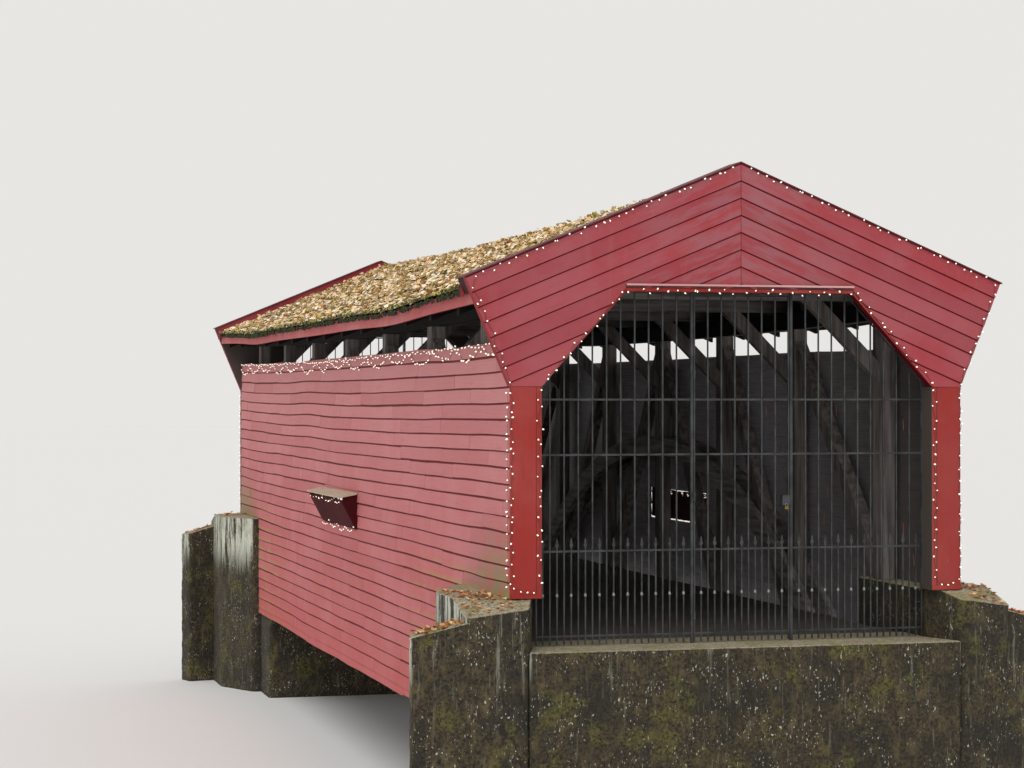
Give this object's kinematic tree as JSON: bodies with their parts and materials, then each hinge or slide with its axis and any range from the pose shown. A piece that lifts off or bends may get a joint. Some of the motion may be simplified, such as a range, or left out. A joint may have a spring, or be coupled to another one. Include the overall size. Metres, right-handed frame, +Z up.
{
  "type": "covered bridge",
  "caption": "Boarded timber covered bridge on concrete abutments, with arched trusses, open eaves and barred iron gates at both portals.",
  "frame": {"origin": "middle of the bridge, on the level where its abutments stand", "axes": "+Y along the road towards the far portal, +X to the right across the road, +Z up"},
  "size_m": [7.6906, 21.4, 8.1034],
  "materials": {
    "concrete": "matte",
    "wrought_iron": "satin",
    "siding_paint": "matte",
    "portal_paint": "satin",
    "roof_shingles": "matte",
    "bare_board": "matte",
    "shield_paint": "matte",
    "floor_planks": "matte",
    "old_timber": "matte"
  },
  "bodies": {
    "bridge": {"bearing_blocks": "old_timber", "bottom_chords": "old_timber", "eave_boards": "portal_paint", "far_abutment": "concrete", "far_gate_left_panel": "wrought_iron", "far_gate_posts": "wrought_iron", "far_gate_right_panel": "wrought_iron", "far_left_wing_wall": "concrete", "far_portal_cap": "portal_paint", "far_portal_gable": "portal_paint", "far_portal_hood": "portal_paint", "far_portal_moulding": "portal_paint", "far_portal_posts": "portal_paint", "far_right_wing_wall": "concrete", "floor_beams": "old_timber", "floor_deck": "floor_planks", "floor_stringers": "old_timber", "knee_braces": "old_timber", "left_arch_ribs": "old_timber", "left_roof": "roof_shingles", "left_siding": "siding_paint", "near_abutment": "concrete", "near_gate_left_panel": "wrought_iron", "near_gate_posts": "wrought_iron", "near_gate_right_panel": "wrought_iron", "near_left_wing_wall": "concrete", "near_portal_cap": "portal_paint", "near_portal_gable": "portal_paint", "near_portal_hood": "portal_paint", "near_portal_moulding": "portal_paint", "near_portal_posts": "portal_paint", "near_right_wing_wall": "concrete", "rafters": "old_timber", "ridge_cap": "roof_shingles", "right_arch_ribs": "old_timber", "right_roof": "roof_shingles", "right_siding": "siding_paint", "tie_beams": "old_timber", "top_chords": "old_timber", "truss_braces": "old_timber", "truss_posts": "old_timber", "window_hoods": "bare_board", "window_shields": "shield_paint"},
    "near_gate": {"near_gate_leaf": "wrought_iron"},
    "far_gate": {"far_gate_leaf": "wrought_iron"}
  },
  "joints": [
    {"name": "near_gate_hinge", "type": "hinge", "parent": "bridge", "child": "near_gate", "pos_m": [-0.474, -10.124, 3.2], "axis": [0, 0, -1], "range_deg": [0, 100]},
    {"name": "far_gate_hinge", "type": "hinge", "parent": "bridge", "child": "far_gate", "pos_m": [0.474, 10.124, 3.2], "axis": [0, 0, -1], "range_deg": [0, 100]}
  ]
}
